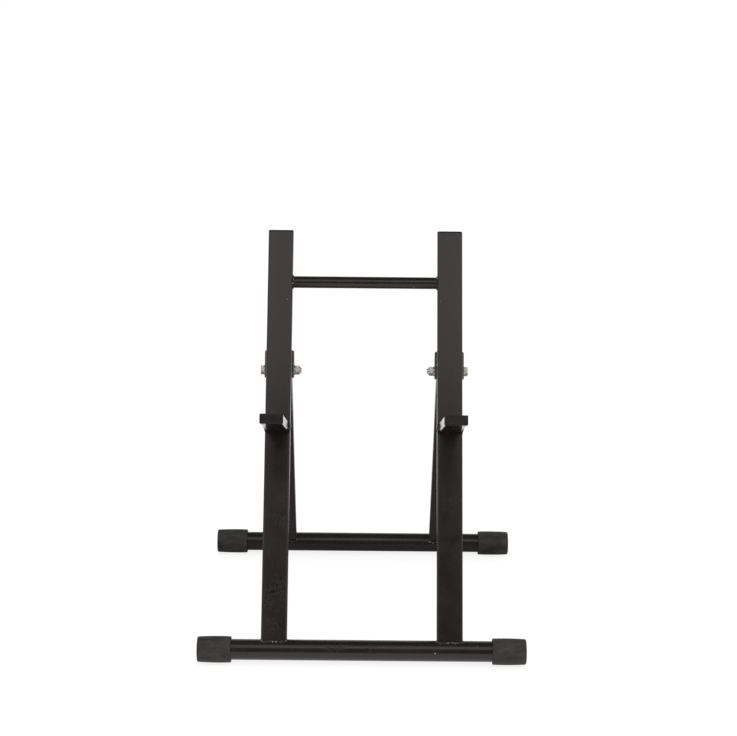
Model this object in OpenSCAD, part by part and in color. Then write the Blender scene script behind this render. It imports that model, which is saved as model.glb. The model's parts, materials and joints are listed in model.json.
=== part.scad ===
// Folding stand: a reclined front frame with two support arms, propped by a rear frame.
// X runs across the stand, Y from front to back, Z up. The origin is on the floor,
// midway between the two foot bars. The stand is drawn open, as it is used.

/* [Stand] */
// Overall width, across the rubber caps
stand_w = 508; // [420:1:640]
// Distance between the two foot bars when open, centre to centre
bar_spread = 405; // [340:1:490]
// Distance between the centres of the two posts
post_pitch = 272; // [200:1:330]
// Angle of the posts behind upright
post_lean = 30; // [26:1:34]
// Length of a post, from the centre of the front foot bar to its top end
post_len = 669; // [620:1:810]
// How far above the front foot bar the rear one lies when folded, along the post
fold_step = 43.7; // [43:0.1:60]

/* [Foot bars] */
// Diameter of a foot bar
bar_d = 32; // [26:0.5:38]
// Wall of a foot bar
bar_wall = 2; // [1.5:0.1:3]
// Diameter of a rubber cap at its fullest
cap_d = 41; // [40:0.5:44]
// Distance of a cap's fullest place from its mouth
cap_fullest = 20; // [10:1:30]
// Radius of the bulge along a cap's side
cap_belly = 500; // [300:10:900]
// Length of a rubber cap
cap_len = 52; // [40:1:65]
// Thickness of a cap's closed end
cap_floor = 6; // [3:0.5:9]
// Rounding of a cap's outer edge
cap_round = 4; // [2:0.5:6]
// Rounding of the lip at a cap's mouth
cap_lip = 1; // [0.5:0.1:1.5]

/* [Posts and legs] */
// Width of the post and leg tube, across the stand
tube_w = 40; // [34:0.5:48]
// Thickness of the post and leg tube, front to back
tube_t = 20; // [17:0.5:24]
// Wall of the post and leg tube
tube_wall = 1.5; // [1.2:0.1:2]
// Outer corner radius of the post and leg tube
tube_r = 3; // [2.2:0.1:4]
// Diameter of the brace between the posts
brace_d = 19; // [14:0.5:22]
// Wall of the brace
brace_wall = 1.5; // [1.2:0.1:2]
// Height of the brace along the posts, from the centre of the front foot bar
brace_height = 585; // [490:1:600]

/* [Support arms] */
// Width of an arm
arm_w = 35; // [30:0.5:42]
// Thickness of an arm
arm_t = 15; // [13:0.5:18]
// Wall of an arm
arm_wall = 1.5; // [1.2:0.1:1.5]
// Outer corner radius of an arm
arm_r = 3; // [2:0.1:4]
// Length of an arm along its underside, from the post to its tip
arm_len = 199; // [160:1:230]
// Slope of an arm, rising to the front
arm_slope = 24; // [18:1:30]
// Height of an arm's underside along the post, from the centre of the front foot bar
arm_height = 340.7; // [284:0.1:380]
// Radius of the round heel at the arm's rear end, about its pivot
heel_r = 10; // [9:0.5:12]

/* [Brackets and pivots] */
// Plate thickness of the rear hinge brackets
hinge_plate = 3; // [2.5:0.1:4]
// Gap between a hinge bracket and the leg folded beside it
fold_gap = 7.2; // [7:0.1:12]
// Radius of the round end of a hinge bracket's ears
hinge_ear_r = 13; // [11:0.5:16]
// Plate thickness of the arm brackets
arm_plate = 2; // [1.5:0.1:3]
// Radius of the round end of an arm bracket's ears
arm_ear_r = 7; // [6:0.1:7.5]
// Height of an arm bracket's web
arm_web_h = 16; // [15:0.5:20]
// Inner radius of the bends in the brackets
bend_r = 1; // [0.6:0.1:1.1]
// Diameter of the pivot bolts and pins
pivot_d = 8; // [6:0.5:9]
// Outer diameter of the sleeves that the pivots turn in
sleeve_d = 11; // [10:0.5:12]
// Width of a bolt's hexagon across its flats
hex_af = 13; // [12:0.5:15]
// Height of a bolt's head
hex_h = 5.3; // [4:0.1:7]
// Height of a locking nut, with its collar
nut_h = 8; // [6:0.5:10]
// Diameter of a washer
washer_d = 16; // [14:0.5:20]
// Thickness of a washer
washer_t = 1.6; // [1:0.1:2]
// Diameter of an arm pin's domed head
rivet_d = 13; // [11:0.5:14]
// Height of an arm pin's domed head
rivet_h = 2; // [1.5:0.1:3]

/* [End plugs] */
// Thickness of a plug's flange
plug_flange = 3; // [2:0.5:5]
// Chamfer round a plug's flange
plug_chamfer = 1; // [0.5:0.1:1.5]
// Depth of a plug inside its tube
plug_depth = 16; // [10:1:22]
// Wall of a plug's hollow core
plug_wall = 1.6; // [1.2:0.1:2]
// Number of ribs that grip the tube
plug_ribs = 3; // [2:1:4]

/* [Clearances] */
// Radial clearance of a pivot in what turns on it
pivot_clear = 0.05; // [0.02:0.01:0.1]
// Gap on each side of a tube between its bracket's ears
side_gap = 0.5; // [0.3:0.1:0.8]
// Gap between a tube's end and the web that stops it
stop_gap = 0.2; // [0.1:0.05:0.3]
// Gap at the foot of a tube welded on a foot bar
weld_gap = 0.3; // [0.1:0.1:0.5]
// Clearance of a cap or plug on its tube
push_fit = 0.1; // [0.05:0.05:0.2]

/* [Hidden] */
$fn = 64;

left = -1;
right = 1;
front = -1;
rear = 1;
far = 1000;                   // longer than anything on the stand, for cutting planes
steel = [0.10, 0.10, 0.10];
rubber = [0.17, 0.17, 0.17];
plastic = [0.13, 0.13, 0.13];
zinc = [0.72, 0.73, 0.74];

bar_z = cap_d / 2;            // the caps stand on the floor
bar_len = stand_w - 2 * (cap_floor + weld_gap);

// The rear pivot, in the post's own frame: behind the post's centre and along the post
hinge_y = tube_t / 2 + hinge_plate + tube_t / 2 + fold_gap;
// This height makes the rear leg shorter than the post below the pivot by fold_step
hinge_z = (pow(hinge_y, 2) + pow(bar_spread, 2) - pow(fold_step, 2)
           - 2 * bar_spread * hinge_y * cos(post_lean))
          / (2 * (bar_spread * sin(post_lean) - fold_step));
// The same pivot measured from the rear foot bar, which gives the leg's length and lean
hinge_run = bar_spread - hinge_z * sin(post_lean) - hinge_y * cos(post_lean);
hinge_rise = hinge_z * cos(post_lean) - hinge_y * sin(post_lean);
leg_len = norm([hinge_run, hinge_rise]);
leg_lean = atan(hinge_run / hinge_rise);
open_angle = post_lean + leg_lean;

// How far up the web the leg's mitred end reaches, measured from the pivot
web_to_pivot = tube_t / 2 + fold_gap;
leg_reach = (web_to_pivot * cos(open_angle) + tube_t / 2) / sin(open_angle);
hinge_web_top = leg_reach + hinge_plate;
hinge_web_bottom = hinge_ear_r + hinge_plate;
hinge_ear_x = tube_w / 2 + side_gap;
hinge_bracket_w = 2 * (hinge_ear_x + hinge_plate);

// The arm's pivot, in the arm's own frame: ahead of the post's face and above the underside
heel_gap = 2 * stop_gap;      // between the round heel and the web as the arm swings
pivot_to_web = heel_r + heel_gap;
arm_mitre = post_lean - arm_slope;
arm_pivot_z = arm_t / 2;
arm_pivot_y = -(arm_plate + pivot_to_web - arm_pivot_z * sin(arm_mitre)) / cos(arm_mitre);
// The same pivot in the post's own frame
arm_pivot_post_y = -tube_t / 2 - arm_plate - pivot_to_web;
arm_pivot_post_z = arm_height + arm_pivot_y * sin(arm_mitre) + arm_pivot_z * cos(arm_mitre);
arm_ear_x = arm_w / 2 + side_gap;
arm_bracket_w = 2 * (arm_ear_x + arm_plate);

hex_r = hex_af / 2 / cos(30); // radius over the corners of a hexagon
nut_collar = nut_h / 5;       // the locking collar takes the outer fifth of the nut
bolt_tail = 2;                // how far a bolt stands out of its nut

// ---- Frames of reference ----

// Stands on the front foot bar's centre, with Z up the post and Y to its rear
module on_post(side) {
    translate([side * post_pitch / 2, front * bar_spread / 2, bar_z])
        rotate([-post_lean, 0, 0])
            children();
}

// Stands on the rear foot bar's centre, with Z up the leg
module on_leg(side) {
    translate([side * post_pitch / 2, rear * bar_spread / 2, bar_z])
        rotate([leg_lean, 0, 0])
            children();
}

// Stands where the arm's underside meets the post's face, with Y along the arm to its rear
module on_arm(side) {
    on_post(side)
        translate([0, -tube_t / 2, arm_height])
            rotate([arm_mitre, 0, 0])
                children();
}

// Lays a shape drawn along Z across the stand, centred
module across(length) {
    rotate([0, 90, 0])
        translate([0, 0, -length / 2])
            children();
}

// Turns a pair so that +X points outboard on either side
module outboard(side) {
    if (side == left)
        mirror([1, 0, 0]) children();
    else
        children();
}

// ---- Profiles ----

// Rectangle with round corners, centred
module rounded_rect(w, t, r) {
    square([w - 2 * r, t], center = true);
    square([w, t - 2 * r], center = true);
    for (x = [-1, 1], y = [-1, 1])
        translate([x * (w / 2 - r), y * (t / 2 - r)])
            circle(r);
}

// Rectangular tube standing on Z, from one height to another
module rect_tube(w, t, r, wall, bottom, top) {
    translate([0, 0, bottom])
        linear_extrude(top - bottom)
            difference() {
                rounded_rect(w, t, r);
                rounded_rect(w - 2 * wall, t - 2 * wall, r - wall / 2);
            }
}

// Round tube across the stand, centred
module cross_tube(d, wall, length) {
    across(length)
        difference() {
            cylinder(d = d, h = length);
            translate([0, 0, -1])
                cylinder(d = d - 2 * wall, h = length + 2);
        }
}

// Plain cylinder across the stand, centred, for pins and for the holes they turn in
module cross_pin(r, length) {
    across(length)
        cylinder(r = r, h = length);
}

// ---- Foot bars ----

module foot_bar(end) {
    color(steel)
        translate([0, end * bar_spread / 2, bar_z])
            cross_tube(bar_d, bar_wall, bar_len);
}

// Radius of a cap's bulging side, at a distance from its mouth
function cap_side(y) = cap_d / 2 - cap_belly + sqrt(pow(cap_belly, 2) - pow(y - cap_fullest, 2));

// Half section of a cap: mouth at Y = 0, closed end at Y = cap_len
module cap_section() {
    tip_r = cap_side(cap_len - cap_round) - cap_round;
    mouth_r = cap_side(cap_lip) - cap_lip;
    difference() {
        union() {
            intersection() {
                translate([cap_d / 2 - cap_belly, cap_fullest])
                    circle(cap_belly, $fn = 240);
                translate([0, cap_lip])
                    square([cap_d, cap_len - cap_round - cap_lip]);
            }
            square([mouth_r, cap_len - cap_round]);
            square([tip_r, cap_len]);
            translate([mouth_r, cap_lip])
                circle(cap_lip);
            translate([tip_r, cap_len - cap_round])
                circle(cap_round);
        }
        translate([0, -1])
            square([bar_d / 2 + push_fit, cap_len - cap_floor + 1]);
    }
}

module foot_cap(end, side) {
    color(rubber)
        translate([side * (stand_w / 2 - cap_len), end * bar_spread / 2, bar_z])
            rotate([0, side * 90, 0])
                rotate_extrude()
                    cap_section();
}

// ---- Front frame ----

// The foot is coped to sit on the foot bar
module post(side) {
    color(steel)
        on_post(side)
            difference() {
                rect_tube(tube_w, tube_t, tube_r, tube_wall, 0, post_len - plug_flange);
                cross_pin(bar_d / 2 + weld_gap, tube_w + 2);
            }
}

module cross_brace() {
    color(steel)
        on_post(0)
            translate([0, 0, brace_height])
                cross_tube(brace_d, brace_wall, post_pitch - tube_w);
}

// Ribbed plug: flange on top of Z = 0, hollow core and gripping ribs below it
module end_plug(w, t, r, wall) {
    bore_w = w - 2 * (wall + push_fit);
    bore_t = t - 2 * (wall + push_fit);
    bore_r = r - wall / 2;
    rib_h = plug_wall / 2;
    rib_step = plug_depth / (plug_ribs + 1);
    hull() {
        linear_extrude(plug_flange - plug_chamfer)
            rounded_rect(w, t, r, $fn = 32);
        linear_extrude(plug_flange)
            rounded_rect(w - 2 * plug_chamfer, t - 2 * plug_chamfer, r - plug_chamfer, $fn = 32);
    }
    translate([0, 0, -plug_depth])
        difference() {
            linear_extrude(plug_depth)
                rounded_rect(bore_w - 2 * rib_h, bore_t - 2 * rib_h, bore_r);
            translate([0, 0, -1])
                linear_extrude(plug_depth)
                    square([bore_w - 2 * plug_wall - 2 * rib_h, bore_t - 2 * plug_wall - 2 * rib_h],
                           center = true);
        }
    for (i = [1 : plug_ribs])
        translate([0, 0, -i * rib_step])
            linear_extrude(rib_h)
                difference() {
                    rounded_rect(bore_w, bore_t, bore_r);
                    square([bore_w - 2 * plug_wall, bore_t - 2 * plug_wall], center = true);
                }
}

module post_plug(side) {
    color(plastic)
        on_post(side)
            translate([0, 0, post_len - plug_flange])
                end_plug(tube_w, tube_t, tube_r, tube_wall);
}

// ---- Brackets and pivots ----

// Point on a circle about the pivot where a line from [y, z] just touches it
function touch_angle(r, y, z) = atan2(z, y) + acos(r / norm([y, z])) * sign(z);

// Side view of a bracket: the web stands at Y = reach, and the ears taper to a round end
module ear_profile(reach, r, web_bottom, web_top) {
    a_top = touch_angle(r, reach, web_top);
    a_bottom = touch_angle(r, reach, -web_bottom);
    circle(r);
    polygon([
        [0, 0], r * [cos(a_bottom), sin(a_bottom)], [reach, -web_bottom],
        [reach, web_top], r * [cos(a_top), sin(a_top)]
    ]);
}

// Half of a bent plate in plan: from the middle of the web round the bend and along an ear
module channel_half(inner_x, reach, tail, bend) {
    translate([0, -tail])
        square([inner_x, reach - bend + tail]);
    translate([0, -tail])
        square([inner_x - bend, reach + tail]);
    translate([inner_x - bend, reach - bend])
        circle(bend);
}

// U bracket bent from one plate, with the pivot at the origin and its web towards +Y
module u_bracket(inner_x, plate, pivot_to_face, r, web_bottom, web_top) {
    outer_x = inner_x + plate;
    reach = pivot_to_face + plate;
    difference() {
        intersection() {
            translate([0, 0, -web_bottom])
                linear_extrude(web_bottom + web_top)
                    for (flip = [0, 1])
                        mirror([flip, 0])
                            difference() {
                                channel_half(outer_x, reach, r, bend_r + plate);
                                channel_half(inner_x, pivot_to_face, r + 1, bend_r);
                            }
            translate([-outer_x, 0, 0])
                rotate([90, 0, 90])
                    linear_extrude(2 * outer_x)
                        ear_profile(reach, r, web_bottom, web_top);
        }
        cross_pin(pivot_d / 2 + pivot_clear, 2 * outer_x + 2);
    }
}

// U bracket on the post's front face; the arm's rear end lies between its ears
module arm_bracket(side) {
    color(steel)
        on_post(side)
            translate([0, arm_pivot_post_y, arm_pivot_post_z])
                u_bracket(arm_ear_x, arm_plate, pivot_to_web, arm_ear_r, arm_web_h / 2, arm_web_h / 2);
}

// Low domed head, flat side on Z = 0
module dome(d, h) {
    ball_r = (pow(d / 2, 2) + pow(h, 2)) / (2 * h);
    intersection() {
        translate([0, 0, h - ball_r])
            sphere(ball_r);
        cylinder(d = d + 1, h = h);
    }
}

// Pin closed over at both ends
module arm_pin(side) {
    color(steel)
        on_post(side)
            translate([0, arm_pivot_post_y, arm_pivot_post_z]) {
                cross_pin(pivot_d / 2, arm_bracket_w);
                for (turn = [-90, 90])
                    rotate([0, turn, 0])
                        translate([0, 0, arm_bracket_w / 2])
                            dome(rivet_d, rivet_h);
            }
}

// U bracket on the post's rear face; its web stops the leg's mitred end
module hinge_bracket(side) {
    color(steel)
        on_post(side)
            translate([0, hinge_y, hinge_z])
                mirror([0, 1, 0])
                    u_bracket(hinge_ear_x, hinge_plate, web_to_pivot, hinge_ear_r,
                              hinge_web_bottom, hinge_web_top);
}

// Puts a fastener on the rear pivot, with +X outboard and X = 0 on the bracket's outer face
module on_hinge(side, x) {
    on_post(side)
        translate([0, hinge_y, hinge_z])
            outboard(side)
                translate([x, 0, 0])
                    rotate([0, 90, 0])
                        children();
}

// Hexagon with the corners of its upper face turned down
module hexagon(h) {
    face_r = 0.475 * hex_af;
    intersection() {
        cylinder(r = hex_r, h = h, $fn = 6);
        cylinder(r1 = face_r + h / tan(30), r2 = face_r, h = h);
    }
}

module hinge_bolt(side) {
    shank = hinge_bracket_w + 2 * washer_t + nut_h + bolt_tail;
    color(zinc)
        on_hinge(side, hinge_bracket_w / 2 + washer_t) {
            hexagon(hex_h);
            translate([0, 0, -shank])
                cylinder(d = pivot_d, h = shank);
        }
}

module hinge_washers(side) {
    color(zinc)
        for (x = [-hinge_bracket_w / 2 - washer_t, hinge_bracket_w / 2])
            on_hinge(side, x)
                difference() {
                    cylinder(d = washer_d, h = washer_t);
                    translate([0, 0, -1])
                        cylinder(r = pivot_d / 2 + pivot_clear, h = washer_t + 2);
                }
}

module hinge_nut(side) {
    color(zinc)
        on_hinge(side, -hinge_bracket_w / 2 - washer_t - nut_h)
            difference() {
                union() {
                    cylinder(d = hex_af - 1, h = nut_h);
                    translate([0, 0, nut_collar])
                        hexagon(nut_h - nut_collar);
                }
                translate([0, 0, -1])
                    cylinder(r = pivot_d / 2 + pivot_clear, h = nut_h + 2);
            }
}

// Sleeve across a tube, flush with its sides, that turns on the pivot
module pivot_sleeve(w) {
    difference() {
        cross_pin(sleeve_d / 2, w);
        cross_pin(pivot_d / 2 + pivot_clear, w + 2);
    }
}

// ---- Rear frame ----

// The foot is coped on the foot bar and the top is mitred to lie on the bracket's web
module rear_leg(side) {
    color(steel)
        difference() {
            on_leg(side)
                difference() {
                    rect_tube(tube_w, tube_t, tube_r, tube_wall, 0, leg_len + 2 * hinge_y);
                    cross_pin(bar_d / 2 + weld_gap, tube_w + 2);
                    translate([0, 0, leg_len])
                        cross_pin(sleeve_d / 2 + pivot_clear, tube_w + 2);
                }
            on_post(side)
                translate([-tube_w, hinge_y - web_to_pivot + stop_gap - far, 0])
                    cube([2 * tube_w, far, far]);
        }
}

module leg_sleeve(side) {
    color(steel)
        on_leg(side)
            translate([0, 0, leg_len])
                pivot_sleeve(tube_w);
}

// ---- Support arms ----

// The rear end is mitred below the pivot, where it bears on the web, and round above it
module arm(side) {
    color(steel)
        difference() {
            on_arm(side)
                difference() {
                    translate([0, 0, arm_t / 2])
                        rotate([90, 0, 0])
                            rect_tube(arm_w, arm_t, arm_r, arm_wall, 0, arm_len - plug_flange);
                    translate([0, arm_pivot_y, arm_pivot_z]) {
                        cross_pin(sleeve_d / 2 + pivot_clear, arm_w + 2);
                        difference() {
                            translate([-arm_w, 0, 0])
                                cube([2 * arm_w, far, far]);
                            cross_pin(heel_r, arm_w + 2);
                        }
                    }
                }
            on_post(side)
                translate([-arm_w, -tube_t / 2 - arm_plate - stop_gap, 0])
                    cube([2 * arm_w, far, far]);
        }
}

module arm_sleeve(side) {
    color(steel)
        on_arm(side)
            translate([0, arm_pivot_y, arm_pivot_z])
                pivot_sleeve(arm_w);
}

module arm_plug(side) {
    color(plastic)
        on_arm(side)
            translate([0, -(arm_len - plug_flange), arm_t / 2])
                rotate([90, 0, 0])
                    end_plug(arm_w, arm_t, arm_r, arm_wall);
}

foot_bar(front);  // front_foot_bar
foot_cap(front, left);  // front_cap_left
foot_cap(front, right);  // front_cap_right
post(left);  // post_left
post(right);  // post_right
cross_brace();
post_plug(left);  // post_plug_left
post_plug(right);  // post_plug_right
arm_bracket(left);  // arm_bracket_left
arm_bracket(right);  // arm_bracket_right
arm_pin(left);  // arm_pin_left
arm_pin(right);  // arm_pin_right
hinge_bracket(left);  // hinge_bracket_left
hinge_bracket(right);  // hinge_bracket_right
hinge_bolt(left);  // hinge_bolt_left
hinge_bolt(right);  // hinge_bolt_right
hinge_washers(left);  // hinge_washers_left
hinge_washers(right);  // hinge_washers_right
hinge_nut(left);  // hinge_nut_left
hinge_nut(right);  // hinge_nut_right
foot_bar(rear);  // rear_foot_bar
foot_cap(rear, left);  // rear_cap_left
foot_cap(rear, right);  // rear_cap_right
rear_leg(left);  // rear_leg_left
rear_leg(right);  // rear_leg_right
leg_sleeve(left);  // leg_sleeve_left
leg_sleeve(right);  // leg_sleeve_right
arm(left);  // arm_left
arm(right);  // arm_right
arm_sleeve(left);  // arm_sleeve_left
arm_sleeve(right);  // arm_sleeve_right
arm_plug(left);  // arm_plug_left
arm_plug(right);  // arm_plug_right
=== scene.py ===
import json
import math

import bmesh
import bpy
from bpy.props import (FloatProperty, FloatVectorProperty, IntProperty, PointerProperty,
                       StringProperty)
from bpy.types import Operator, Panel, PropertyGroup
from mathutils import Matrix, Vector


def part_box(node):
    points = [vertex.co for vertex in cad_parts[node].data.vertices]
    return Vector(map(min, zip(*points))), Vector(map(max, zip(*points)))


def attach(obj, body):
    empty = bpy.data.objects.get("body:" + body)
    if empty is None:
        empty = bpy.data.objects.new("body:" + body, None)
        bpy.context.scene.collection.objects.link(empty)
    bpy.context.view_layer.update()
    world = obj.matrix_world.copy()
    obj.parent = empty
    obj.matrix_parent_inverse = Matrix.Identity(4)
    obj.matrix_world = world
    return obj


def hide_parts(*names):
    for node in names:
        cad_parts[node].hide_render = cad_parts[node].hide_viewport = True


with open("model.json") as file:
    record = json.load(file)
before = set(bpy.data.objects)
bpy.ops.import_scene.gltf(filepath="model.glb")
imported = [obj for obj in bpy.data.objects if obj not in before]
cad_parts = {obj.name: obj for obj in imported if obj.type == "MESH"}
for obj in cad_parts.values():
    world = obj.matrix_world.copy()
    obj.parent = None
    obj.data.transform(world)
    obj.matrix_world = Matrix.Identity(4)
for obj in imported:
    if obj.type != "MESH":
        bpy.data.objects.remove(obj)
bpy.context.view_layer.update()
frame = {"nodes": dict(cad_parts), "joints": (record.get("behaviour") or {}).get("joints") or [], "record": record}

bl_info = {
    "name": "Folding Stand",
    "version": (1, 0, 0),
    "blender": (4, 5, 0),
    "location": "View3D > Sidebar > Stand",
    "description": "Finishes, weld beads, studio and camera for a folding stand of steel tube",
    "category": "Object",
}

NODES = frame["nodes"]
SIDES = ("left", "right")
TOUCH = 0.000005  # two places nearer than this are one
BEAD_STEPS = 3  # places on a weld bead in each of its ripples


def box_centre(name):
    """Middle of a CAD piece's box."""
    low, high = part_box(name)
    return (low + high) / 2


def half_size(name):
    """Half the size of a CAD piece's box."""
    low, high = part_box(name)
    return (high - low) / 2


# The hinge that the rear legs fold on, from the part's own joint
FOLD = Vector(next(j["pos_m"] for j in frame["joints"] if j["name"] == "rear_frame_fold"))
FRONT_BAR = box_centre("front_foot_bar")
REAR_BAR = box_centre("rear_foot_bar")
BAR_R = half_size("front_foot_bar").z
POST_X = abs(box_centre("post_left").x)
TUBE_W = half_size("post_left").x * 2
ARM_W = half_size("arm_left").x * 2


# ---- Small helpers -------------------------------------------------------------------------

def linear(hex_colour):
    """An sRGB hex value as the linear colour that a shader takes."""
    parts = [int(hex_colour[i:i + 2], 16) / 255 for i in (1, 3, 5)]
    return (*[c / 12.92 if c <= 0.04045 else ((c + 0.055) / 1.055) ** 2.4 for c in parts], 1.0)


def node(tree, kind, inputs=None, **settings):
    """Adds a node with its settings. An input given a socket is linked to it, else it takes the
    value. On a colour Mix, input 0 is the factor, 6 and 7 are the colours, and output 2 is the
    result."""
    made = tree.nodes.new(kind)
    for name, value in settings.items():
        setattr(made, name, value)
    for name, value in (inputs or {}).items():
        if isinstance(value, bpy.types.NodeSocket):
            tree.links.new(value, made.inputs[name])
        else:
            made.inputs[name].default_value = value
    return made


def new_material(name):
    """A node material with its shader, the pattern coordinates and an output."""
    made = bpy.data.materials.new(name)
    made.use_nodes = True
    tree = made.node_tree
    tree.nodes.clear()
    shader = node(tree, "ShaderNodeBsdfPrincipled")
    node(tree, "ShaderNodeOutputMaterial", {"Surface": shader.outputs["BSDF"]})
    where = node(tree, "ShaderNodeTexCoord").outputs["Object"]
    return made, tree, shader, where


def wear(made, *pieces):
    """Puts one material on CAD pieces, by name, or on new pieces."""
    for piece in pieces:
        data = (NODES[piece] if isinstance(piece, str) else piece).data
        data.materials.clear()
        data.materials.append(made)


def named(*starts):
    """The CAD pieces whose names start so."""
    found = [n for n in NODES if n.startswith(starts)]
    if not found:
        raise RuntimeError(f"no CAD piece is named {starts}")
    return found


def mesh_from(bm, name):
    """Ends a bmesh and returns it as a mesh."""
    data = bpy.data.meshes.new(name)
    bm.to_mesh(data)
    bm.free()
    return data


def add_object(data):
    """Puts a mesh, lamp or camera in the scene as an object of the same name."""
    made = bpy.data.objects.new(data.name, data)
    bpy.context.scene.collection.objects.link(made)
    return made


# ---- Settings ------------------------------------------------------------------------------

class StandFinish(PropertyGroup):
    paint: StringProperty(name="Paint", description="Colour of the powder coat, as sRGB hex",
                          default="#191313")
    # The paler colour is also painted on the left post's lower part as painted light
    paint_dull_and_painted_light: StringProperty(name="Dull paint", default="#272120",
                               description="Colour of its thinner, duller patches")
    scratch: StringProperty(name="Scratch", description="Colour in the bottom of a scratch",
                            default="#0f0c0c")
    rubber: StringProperty(name="Rubber", description="Colour of the foot caps, as sRGB hex",
                           default="#1a1615")
    plastic: StringProperty(name="Plugs", description="Colour of the tube plugs, as sRGB hex",
                            default="#0f0c0c")
    zinc: StringProperty(name="Zinc", description="Colour of the plating, as sRGB hex",
                         default="#c3c5c8")
    ripple: FloatProperty(name="Orange peel", description="Width of the ripples in the paint",
                          default=0.003, min=0.0005, max=0.01, unit="LENGTH")
    crown: FloatProperty(name="Crown", description="How far a flat side of the tube bulges",
                         default=0.0005, min=0, max=0.001, precision=5, unit="LENGTH")


class StandCaps(PropertyGroup):
    fullest: FloatProperty(name="Fullest", default=0.020, min=0.01, max=0.03, unit="LENGTH",
                           description="Distance of a cap's fullest place from its mouth")
    belly: FloatProperty(name="Belly", description="Radius of the bulge along a cap's side",
                         default=0.5, min=0.3, max=0.9, unit="LENGTH")
    floor: FloatProperty(name="Floor", description="Thickness of a cap's closed end",
                         default=0.006, min=0.003, max=0.009, unit="LENGTH")
    edge: FloatProperty(name="Edge", description="Rounding of a cap's outer edge",
                        default=0.0018, min=0.0005, max=0.006, precision=4, unit="LENGTH")
    lip: FloatProperty(name="Lip", description="Rounding of the lip at a cap's mouth",
                       default=0.0010, min=0.0002, max=0.0015, precision=4, unit="LENGTH")


class StandPlugs(PropertyGroup):
    slope: FloatProperty(name="Slope", description="Slope of the arms, rising to the front",
                         default=math.radians(24), subtype="ANGLE")
    flange: FloatProperty(name="Flange", description="Thickness of a plug's flange",
                          default=0.003, min=0.001, max=0.005, unit="LENGTH")
    corner: FloatProperty(name="Corner", description="Corner radius of a plug's flange",
                          default=0.0012, min=0.0003, max=0.003, precision=4, unit="LENGTH")
    chamfer: FloatProperty(name="Chamfer", description="Chamfer round a plug's flange",
                           default=0.0006, min=0.0002, max=0.0015, precision=4, unit="LENGTH")
    wall: FloatProperty(name="Wall", description="Wall of an arm, with the plug's clearance",
                        default=0.0016, min=0.001, max=0.003, precision=4, unit="LENGTH")
    core: FloatProperty(name="Core", description="Wall of a plug's hollow core",
                        default=0.0016, min=0.001, max=0.003, precision=4, unit="LENGTH")
    rib: FloatProperty(name="Rib", description="Height and thickness of a gripping rib",
                       default=0.0008, min=0.0004, max=0.002, precision=4, unit="LENGTH")
    ribs: IntProperty(name="Ribs", description="Number of ribs that grip the tube", default=3,
                      min=1, max=6)


class StandWelds(PropertyGroup):
    post_lean: FloatProperty(name="Lean", description="Angle of the posts behind upright",
                             default=math.radians(30), subtype="ANGLE")
    tube_depth: FloatProperty(name="Tube depth", default=0.020, min=0.01, max=0.05,
                              unit="LENGTH", description="Thickness of the tube, front to back")
    corner: FloatProperty(name="Corner", description="Outer corner radius of the tube",
                          default=0.003, min=0.001, max=0.01, unit="LENGTH")
    foot_bead: FloatProperty(name="Foot bead", default=0.0046, min=0.001, max=0.01, precision=4,
                             unit="LENGTH",
                             description="Width of the bead round the foot of a tube")
    seam_bead: FloatProperty(name="Seam bead", default=0.0030, min=0.001, max=0.01, precision=4,
                             unit="LENGTH",
                             description="Width of the bead along a bracket or a brace")
    ripple: FloatProperty(name="Ripple", description="Spacing of the ripples along a bead",
                          default=0.0016, min=0.0005, max=0.005, precision=4, unit="LENGTH")


class StandStudio(PropertyGroup):
    lens: FloatProperty(name="Lens", description="Focal length of the camera", default=89.22,
                        min=20, max=300, subtype="DISTANCE_CAMERA")
    place: FloatVectorProperty(name="Camera", description="Place of the camera",
                               default=(0.0006, -2.7325, 1.3511), subtype="XYZ", unit="LENGTH")
    pitch: FloatProperty(name="Pitch", description="Camera's angle below level",
                         default=math.radians(18.948), subtype="ANGLE")
    yaw: FloatProperty(name="Yaw", description="Camera's turn to the right",
                       default=math.radians(0.127), subtype="ANGLE")
    roll: FloatProperty(name="Roll", description="How far the camera's right side drops",
                        default=math.radians(0.565), subtype="ANGLE")
    softbox: FloatProperty(name="Softbox", default=11.5, min=0, max=500,
                           description="Power of the soft light in front and above")
    ambient: FloatProperty(name="Ambient", description="Level of the plain light from all round",
                           default=0.7, min=0, max=2)


# ---- Places on the posts -------------------------------------------------------------------

def post_x(side):
    """How far right of the middle a side's post and leg stand."""
    return POST_X if side == "right" else -POST_X


def on_post(size, side, x, y, along):
    """A place in the row's frame from one in a post's own frame, in metres."""
    turn = Matrix.Rotation(-size.post_lean, 4, "X")
    foot = Vector((post_x(side), FRONT_BAR.y, FRONT_BAR.z))
    return foot + turn @ Vector((x, y, along))


# ---- Powder coat ---------------------------------------------------------------------------

def near(tree, where, place, reach):
    """A mask that is 1 near a place and falls to 0 at the reach from it."""
    gap = node(tree, "ShaderNodeVectorMath", {0: where, 1: place}, operation="DISTANCE")
    return node(tree, "ShaderNodeMapRange", {"Value": gap.outputs["Value"], "From Min": reach,
                                             "From Max": reach * 0.55}).outputs["Result"]


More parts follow.
